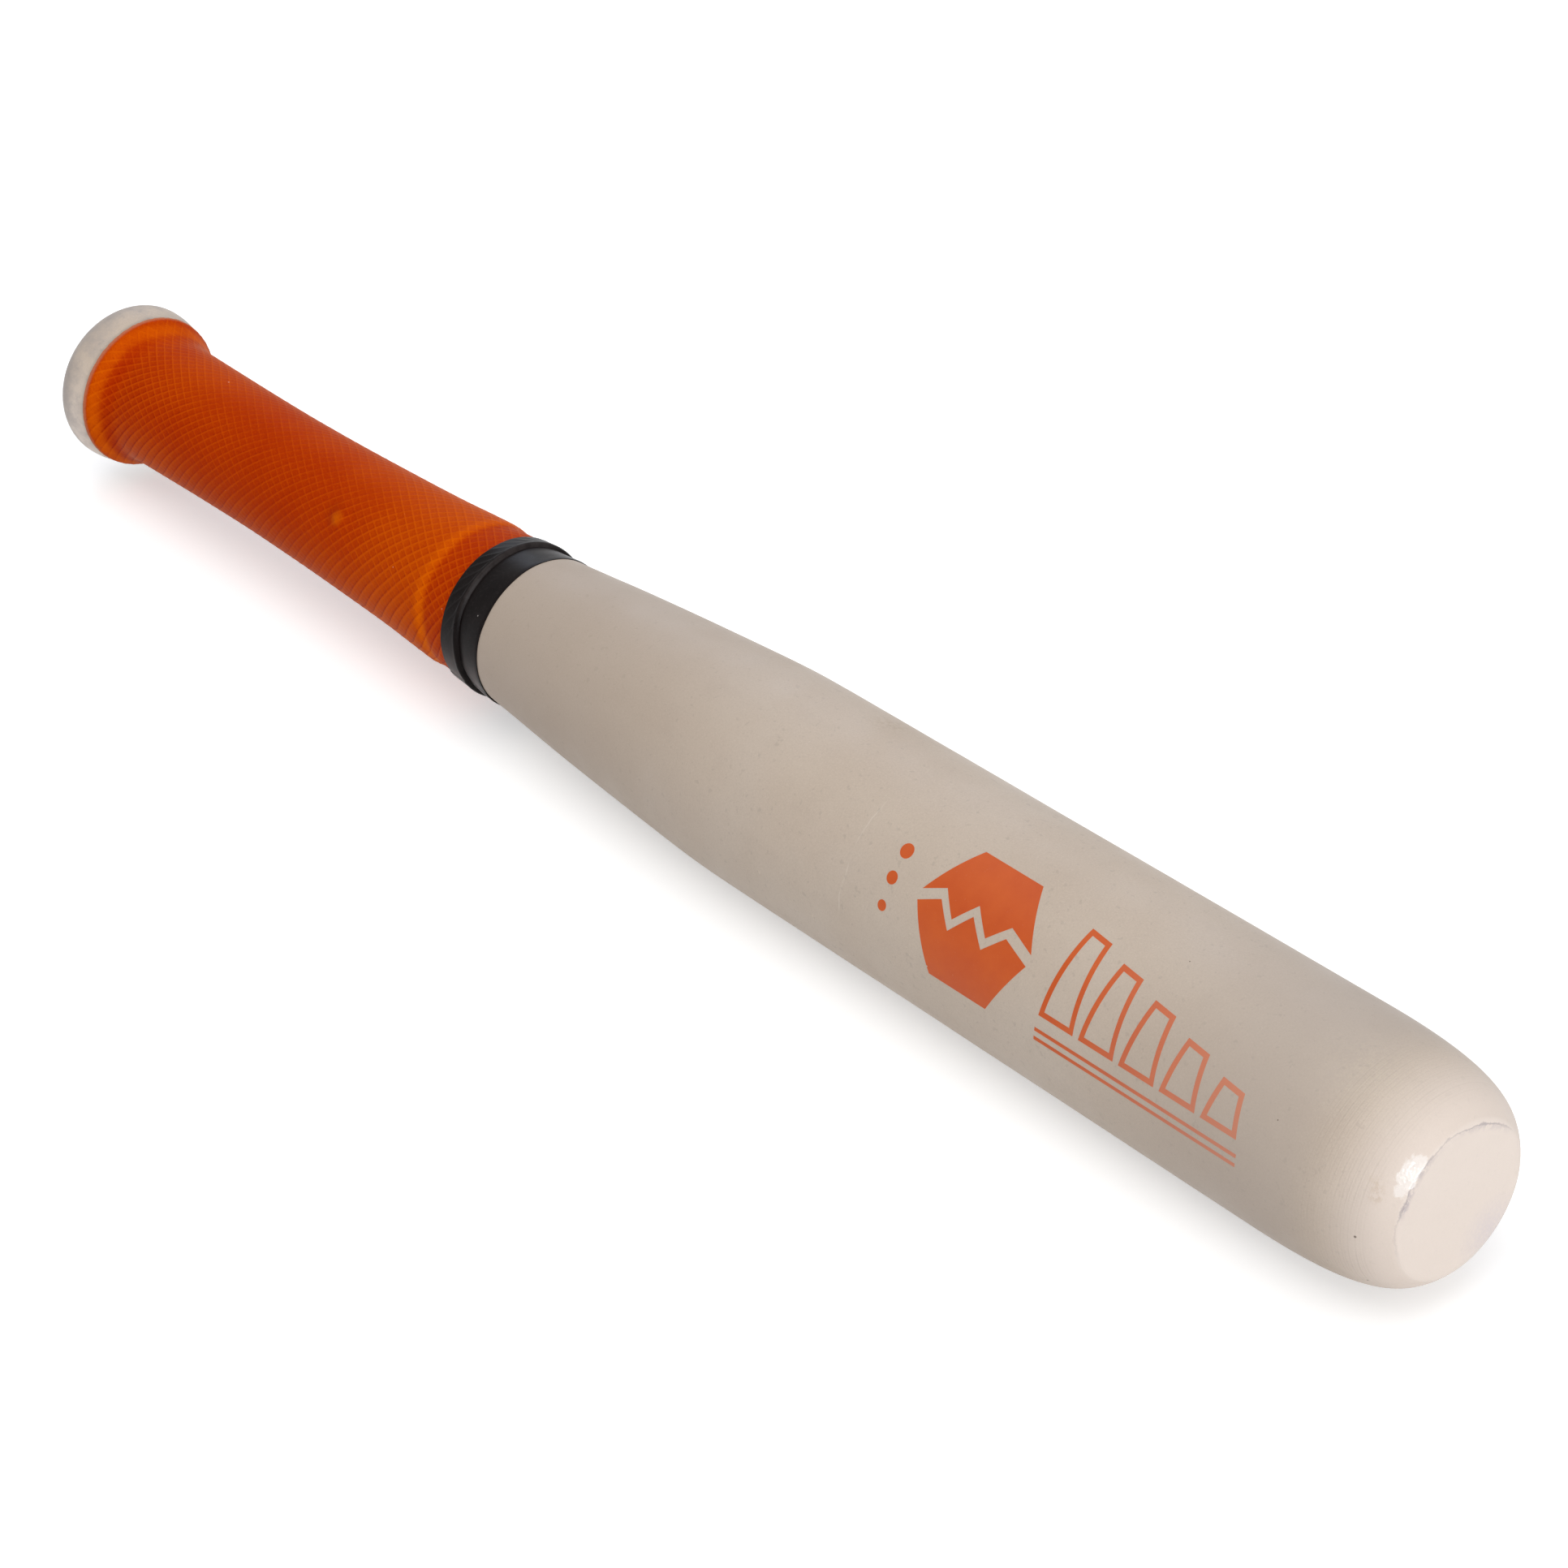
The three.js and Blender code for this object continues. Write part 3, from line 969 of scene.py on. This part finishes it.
def rim_crack(paint, at_tip, angle, radius):
    """A chipped line with grey-violet wood inside it, smudged onto the face in places."""
    ragged = paint.noise(1300, 4, 0.65)
    wander = paint.math("ADD", paint.math("MULTIPLY_ADD", ragged, 0.7, -0.35),
                        paint.noise_around(0.45, 260, 2, 0.5))
    off = paint.math("SUBTRACT", paint.math(
        "SUBTRACT", radius, by_angle(paint, angle, RIM_CRACK, 16.0, 20.0)), wander)
    width = paint.step(paint.noise(380, 3, 0.6), 0.38, 0.64, 0.1, 0.34)
    line = paint.step(paint.math("DIVIDE", paint.math("ABSOLUTE", off), width), 0.1, 1.3, 1.0, 0.0)
    line = paint.times(line, by_angle(paint, angle, RIM_LINE, 0.0, 1.0), at_tip)
    smudge = paint.times(
        paint.band(off, -1.9, -0.3, 0.0, 0.3), paint.step(paint.noise(700, 4, 0.65), 0.36, 0.58),
        by_angle(paint, angle, RIM_SMUDGES, 0.0, 1.0), at_tip)
    paint.tint(paint.times(smudge, 0.75), 164, 154, 158)
    paint.tint(paint.times(line, 0.9), 150, 140, 142)
    grey_violet_patch = paint.times(
        paint.spot(GREY_VIOLET_SPOT, 9.5, 0.9), paint.step(ragged, 0.3, 0.6, 0.3, 1.0))
    paint.tint(paint.times(grey_violet_patch, 0.45), 190, 182, 190)
    return line


def stains_and_holes(paint):
    patchy = paint.step(paint.noise(800, 4, 0.7), 0.42, 0.6)
    for centre, size, share, colour in (
            (spot_on_bat(455.6, math.radians(66.5) - VIEW_SIDE), 2.2, 0.4, (178, 152, 124)),
            (spot_on_bat(454.8, math.radians(60.5) - VIEW_SIDE), 2.4, 0.3, (184, 160, 132)),
            (spot_on_bat(440, -0.5), 14, 0.14, (214, 202, 178)),
            (spot_on_bat(285, -1.15), 6, 0.5, (168, 148, 126)),
            (spot_on_bat(378, 1.0), 30, 0.25, (186, 172, 158))):
        paint.tint(paint.times(paint.spot(centre, size, 0.9), share, patchy), *colour)
    for centre, size in (
            (tuple(place([453.4], math.radians(92.8), 22.45)[0]), 0.38),
            (tuple(place([453.1], math.radians(129.8), 22.6)[0]), 0.3),
            (tuple(place([457.0], math.radians(68), 20.1)[0]), 0.2),
            (spot_on_bat(431, 0.2), 0.2), (spot_on_bat(392, -0.5), 0.2)):
        paint.tint(paint.times(paint.spot(centre, size, 0.45), 0.85), 92, 78, 66)


def lacquer_run(paint, at_tip, angle, radius):
    """A thick glossy run of lacquer along the rim, ragged where it thins out, whitened by a painted
    highlight.
    """
    run = paint.times(paint.math("SUBTRACT", angle, RUN_ANGLE), 1 / RUN_REACH[0])
    across = paint.times(paint.math("SUBTRACT", radius, RUN_RADIUS), 1 / RUN_REACH[1])
    thin = paint.noise_around(0.8, 480, 4, 0.65)
    reach = paint.math("ADD", paint.length(run, across), thin)
    lacquer_and_highlight = paint.times(paint.step(reach, 1.15, 0.9), at_tip)
    # A painted highlight on the run.
    paint.tint(paint.times(lacquer_and_highlight, 0.5), 243, 238, 234)
    return lacquer_and_highlight


def wood_paint():
    paint = Finish("satin_wood_paint")
    along, across, above = paint.from_butt()
    angle, radius = paint.turn(across, above), paint.length(across, above)
    at_tip = paint.step(along, TIP - 4, TIP - 3)
    paint_clouds(paint, along)
    knob_blotches(paint, along, angle)
    film_edge(paint, along, angle)
    rings = turning_rings(paint, along)
    line = rim_crack(paint, at_tip, angle, radius)
    stains_and_holes(paint)
    lacquer_and_highlight = lacquer_run(paint, at_tip, angle, radius)
    paint.link(paint.colour, "Base Color")
    rough = paint.step(paint.noise(60, 3, 0.6), 0.3, 0.7, 0.46, 0.58)
    shine = paint.math("SUBTRACT", 1.0, paint.times(lacquer_and_highlight, 0.74))
    paint.link(paint.times(rough, shine), "Roughness")
    bubbles = paint.times(paint.math("ADD", paint.noise(900, 2, 0.5), -0.5), lacquer_and_highlight)
    normal = paint.bump(paint.noise(300, 4, 0.65), 0.22, 0.12)
    normal = paint.bump(paint.noise(2000, 3, 0.55), 0.6, 0.04, normal)
    normal = paint.bump(rings, 0.5, 0.03, normal)
    normal = paint.bump(bubbles, 0.55, 0.16, normal)
    normal = paint.bump(paint.math("SUBTRACT", 1.0, line), 0.6, 0.12, normal)
    paint.link(normal, "Normal")
    paint.set(Specular_IOR_Level=0.3)
    return paint.material


# How far each rib family stands out on the way from one rib to the next, with its painted light:
# near 1 on a rib, where its side towards the tip has a painted highlight, less between the ribs,
# and 0 in painted shade on the rib's side towards the knob. The third is the first family on the
# lower side, painted with the highlight and shade that its ribs get there.
RIB_SHADES = (
    ((0.0, 0.75), (0.06, 0.45), (0.14, 0.32), (0.5, 0.28), (0.62, 0.12), (0.72, 0.0),
     (0.8, 0.16), (0.88, 0.8), (0.94, 0.9), (1.0, 0.75)),
    ((0.0, 0.55), (0.06, 0.34), (0.15, 0.26), (0.6, 0.24), (0.72, 0.1), (0.82, 0.2),
     (0.89, 0.75), (0.94, 0.85), (1.0, 0.6)),
    ((0.0, 0.56), (0.1, 0.48), (0.4, 0.42), (0.52, 0.22), (0.59, 0.0), (0.67, 0.0),
     (0.72, 0.4), (0.78, 0.9), (0.85, 0.84), (1.0, 0.56)))
# Colours of the painted shade beside the ribs, of the cells and of the crests, where the painted
# light on the rubber is low, plain and high.
RUBBER_SHADES = (
    ((146, 20, 0), (153, 31, 0), (202, 76, 0)),
    ((165, 34, 0), (178, 50, 0), (220, 94, 0)),
    ((182, 52, 0), (197, 72, 0), (230, 108, 0)))
# Pale specks on the rubber: (along, past, radius).
RUBBER_SPECKS = ((48.9, -0.89, 0.28), (138.2, 0.28, 0.24), (158.6, 0.40, 0.26),
                 (70.0, 0.75, 0.18), (131.0, -0.42, 0.18))


def rib_relief(rubber, along):
    """The ribs as the surface shows them, with their painted highlight and shade, crisper towards
    both ends of the grip.
    """
    lattice = rubber.node("SeparateXYZ", {0: rubber.node(
        "Attribute", attribute_name="lattice").outputs["Vector"]}).outputs
    rib_a, rib_b, lower_side_rib_light = (
        rubber.ramp(rubber.math("FRACT", lattice[family]), *shades)
        for family, shades in zip((0, 1, 0), RIB_SHADES))
    below, above = rubber.step(lattice[2], 0.4, 0.8), rubber.step(lattice[2], 0.1, -0.55)
    # On the lower side the first family takes the painted highlight and shade of the third table;
    # on the upper side its painted shade is mostly flattened.
    rib_a = rubber.mix(below, rib_a, lower_side_rib_light)
    rib_a = rubber.mix(rubber.times(above, 0.6), rib_a, (0.3, 0.3, 0.3, 1))
    left = rubber.math("SUBTRACT", 1.0, rib_a)
    # The second family is worn down at random and painted flatter on the lower side.
    wear_and_lower_side_light = rubber.times(rubber.step(rubber.noise(90, 3, 0.6), 0.35, 0.62, 0.6, 0.95),
                        rubber.math("MULTIPLY_ADD", below, -0.65, 1.0))
    relief = rubber.math("ADD", rib_a, rubber.times(rib_b, left, wear_and_lower_side_light))
    from_middle = rubber.math("ABSOLUTE", rubber.math("SUBTRACT", along, GRIP_MIDDLE))
    crisp = rubber.times(rubber.step(from_middle, 20.0, 62.0, 1.0, 1.7),
                         rubber.step(along, 16.5, 23.0, 0.5, 1.0))
    return rubber.math("MULTIPLY_ADD", rubber.math("SUBTRACT", relief, 0.3), crisp, 0.3)


def grip_rubber():
    rubber = Finish("orange_grip_rubber")
    along = rubber.from_butt()[0]
    relief = rib_relief(rubber, along)
    fine = rubber.noise(1100, 4, 0.7)
    shade = rubber.math("ADD", relief, rubber.math("MULTIPLY_ADD", fine, 0.9, -0.45))
    # The painted light on the rubber, with broad tone at random, picks the deeper or paler colours;
    # the fold colour is the ribs' painted shade.
    painted_light_and_tone = rubber.math("ADD", rubber.noise_around(0.2, 30, 3, 0.55), rubber.node(
        "Attribute", attribute_name="painted_light_and_tone").outputs["Fac"])
    fold, cell, crest = (
        rubber.ramp(painted_light_and_tone, *zip((0.0, 0.3, 1.0), (srgb(*colour) for colour in shades)))
        for shades in RUBBER_SHADES)
    rubber.colour = rubber.mix(rubber.step(shade, -0.15, 0.3), fold, cell)
    rubber.colour = rubber.mix(rubber.step(shade, 0.3, 1.15), rubber.colour, crest)
    lip = rubber.step(along, 15.5, SLEEVE_START + 0.3)
    rubber.tint(rubber.times(lip, 0.8), 190, 122, 92)
    # Painted shade on the blister's dark side, and a painted highlight on its top.
    shaded = rubber.spot(spot_on_bat(111.4, 0.07, 0.9), 4.2, 1.0)
    rubber.tint(rubber.times(shaded, 0.5), 150, 38, 0)
    blister_highlight = rubber.spot(spot_on_bat(113.3, BLISTER[1], 1.1), 2.4, 0.8)
    rubber.tint(rubber.times(blister_highlight, 0.6), 214, 102, 4)
    grain = rubber.noise(2400, 3, 0.7)
    rubber.tint(rubber.step(grain, 0.5, 0.75, 0.0, 0.35), 150, 34, 0)
    rubber.tint(rubber.step(grain, 0.5, 0.25, 0.0, 0.3), 206, 84, 0)
    for speck_along, past, size in RUBBER_SPECKS:
        speck = rubber.spot(spot_on_bat(speck_along, past, 0.9), size, 0.5)
        rubber.tint(rubber.times(speck, 0.8), 232, 176, 150)
    rubber.link(rubber.colour, "Base Color")
    rubber.link(rubber.step(fine, 0.3, 0.7, 0.42, 0.56), "Roughness")
    normal = rubber.bump(grain, 0.35, 0.05)
    normal = rubber.bump(relief, 0.4, 0.06, normal)
    rubber.link(rubber.bump(fine, 0.3, 0.08, normal), "Normal")
    rubber.set(Specular_IOR_Level=0.01, Sheen_Weight=0.12, Sheen_Roughness=0.3,
               Sheen_Tint=(1.0, 0.9, 0.5, 1.0))
    return rubber.material


def black_vinyl():
    vinyl = Finish("black_vinyl")
    along, across, above = vinyl.from_butt()
    cloud = vinyl.noise(120, 4, 0.6)
    grain = vinyl.noise(1400, 3, 0.6)
    vinyl.colour = vinyl.ramp(cloud, (0.3, srgb(12, 7, 7)), (0.7, srgb(20, 14, 13)))
    vinyl.tint(vinyl.step(grain, 0.5, 0.8, 0.0, 0.5), 40, 33, 33)
    vinyl.tint(vinyl.ramp(vinyl.noise(2600, 2, 0.5), (0.74, 0.0), (0.84, 0.4)), 110, 106, 104)
    # A painted highlight along the tape where it goes over the sleeve's end, on its upper side and
    # the side that faces the camera.
    over_end = vinyl.times(
        vinyl.band(along, SLEEVE_END - 1, SLEEVE_END - 0.5, SLEEVE_END - 0.1, SLEEVE_END + 0.4),
        vinyl.band(vinyl.turn(across, above), -0.9, -0.4, 0.8, 1.3),
        vinyl.step(vinyl.noise(400, 3, 0.6), 0.3, 0.6, 0.5, 1.0))
    vinyl.tint(vinyl.times(over_end, 0.5), 66, 60, 59)
    speck = vinyl.spot(spot_on_bat(170.9, 0.22, 0.26), 0.22, 0.5)
    vinyl.tint(vinyl.times(speck, 0.8), 170, 164, 160)
    vinyl.link(vinyl.colour, "Base Color")
    vinyl.link(vinyl.ramp(cloud, (0.3, 0.26), (0.7, 0.36)), "Roughness")
    stretched = vinyl.noise(700, 3, 0.55, vinyl.mapped(scale=(1, 0.3, 0.3)))
    vinyl.link(vinyl.bump(stretched, 0.3, 0.06, vinyl.bump(grain, 0.2, 0.04)), "Normal")
    vinyl.set(Specular_IOR_Level=0.065)
    return vinyl.material


def orange_ink():
    ink = Finish("orange_ink")
    cloud = ink.noise(90, 4, 0.6)
    ink.colour = ink.ramp(cloud, (0.3, srgb(196, 80, 26)), (0.7, srgb(206, 92, 34)))
    ink.tint(ink.step(ink.from_butt()[0], 365, 430, 0.0, 0.55), 206, 158, 136)
    ink.tint(ink.ramp(ink.noise(1900, 2, 0.5), (0.68, 0.0), (0.78, 0.14)), 220, 166, 138)
    ink.link(ink.colour, "Base Color")
    ink.link(ink.ramp(cloud, (0.3, 0.38), (0.7, 0.5)), "Roughness")
    ink.link(ink.bump(ink.noise(1300, 3, 0.55), 0.3, 0.04), "Normal")
    ink.set(Specular_IOR_Level=0.25)
    return ink.material


def dress(piece, material):
    piece.data.materials.clear()
    piece.data.materials.append(material)


# Camera, floor and light, in metres in the row frame

CAMERA_AT = (0.7148, -0.5944, 0.6016)
CAMERA_FORWARD = (-0.6378, 0.5532, -0.5358)
CAMERA_LENS, SENSOR_WIDTH = 111.82, 36.0
FLOOR_SIZE = 8.0


def photo_camera():
    data = bpy.data.cameras.new("photo_camera")
    data.sensor_width = SENSOR_WIDTH
    data.lens = CAMERA_LENS
    data.clip_end = 50.0
    camera = bpy.data.objects.new("photo_camera", data)
    bpy.context.collection.objects.link(camera)
    forward = Vector(CAMERA_FORWARD).normalized()
    right = forward.cross(Vector((0, 0, 1))).normalized()
    up = right.cross(forward)
    camera.matrix_world = Matrix.Translation(CAMERA_AT) @ Matrix(
        (right, up, -forward)).transposed().to_4x4()
    bpy.context.scene.camera = camera


def studio_floor():
    """The bat lies on its barrel, so the floor touches that all along."""
    slope = math.atan2(BARREL_END[1] - BARREL_ROOT[1], BARREL_END[0] - BARREL_ROOT[0])
    touch = place([BARREL_END[0]], math.pi, BARREL_END[1])[0]
    floor = start_piece(
        "studio_floor", bpy.ops.mesh.primitive_plane_add, size=FLOOR_SIZE,
        location=(touch[0], 0, touch[2] - 0.05 * MM), rotation=(0, slope, 0))
    paper = Finish("white_paper")
    paper.set(Base_Color=(0.77, 0.77, 0.77, 1), Roughness=0.9, Specular_IOR_Level=0.1,
              Emission_Color=(1, 1, 1, 1))
    # The lamps fade further out, where the paper makes up for it and stays white.
    away = paper.node("VectorMath", {0: paper.place}, operation="LENGTH").outputs["Value"]
    strength = paper.times(paper.seen(), paper.step(away, 0.7, 2.2, 0.48, 1.0))
    paper.link(strength, "Emission Strength")
    dress(floor, paper.material)


def lamp(name, at, to, size, power, colour=(1, 1, 1)):
    data = bpy.data.lights.new(name, "AREA")
    data.shape = "RECTANGLE"
    data.size, data.size_y = size
    data.energy = power
    data.color = colour
    made = bpy.data.objects.new(name, data)
    bpy.context.collection.objects.link(made)
    made.location = at
    made.rotation_euler = (Vector(to) - Vector(at)).to_track_quat("-Z", "Y").to_euler()


def studio_light():
    world = bpy.data.worlds.new("studio")
    bpy.context.scene.world = world
    world.use_nodes = True
    sky = Nodes(world.node_tree)
    background = sky.tree.nodes["Background"]
    background.inputs["Color"].default_value = (1, 1, 1, 1)
    strength = sky.node("MapRange", {"Value": sky.seen(), "To Min": 0.38, "To Max": 1.0})
    sky.tree.links.new(strength.outputs["Result"], background.inputs["Strength"])
    lamp("overhead_soft", (0.05, -0.4, 1.45), (0.0, 0.0, 0.0), (1.8, 1.4), 13)
    lamp("back_softbox", (-1.0, 0.8, 0.9), (-0.1, 0.0, 0.03), (0.8, 0.8), 3.6, (0.84, 0.94, 1.15))
    lamp("tip_softbox", (2.6, -0.1, 0.3), (0.2, 0.0, 0.03), (1.4, 0.5), 29, (0.98, 1.0, 1.03))
    lamp("tip_glint", (1.12, -0.43, 0.40), (0.228, -0.0136, 0.0389), (0.16, 0.16), 1.6)


painted = painted_stick()
dress(painted, wood_paint())
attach(painted, "root")
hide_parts("bat_body")

grip = ribbed_grip()
dress(grip, grip_rubber())
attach(grip, "root")
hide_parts("grip_sleeve")

tape = vinyl_tape()
dress(tape, black_vinyl())
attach(tape, "root")
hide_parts("finishing_tape")

mark = barrel_print()
dress(mark, orange_ink())
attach(mark, "root")

studio_floor()
studio_light()
photo_camera()
bpy.context.scene.view_settings.view_transform = "Standard"
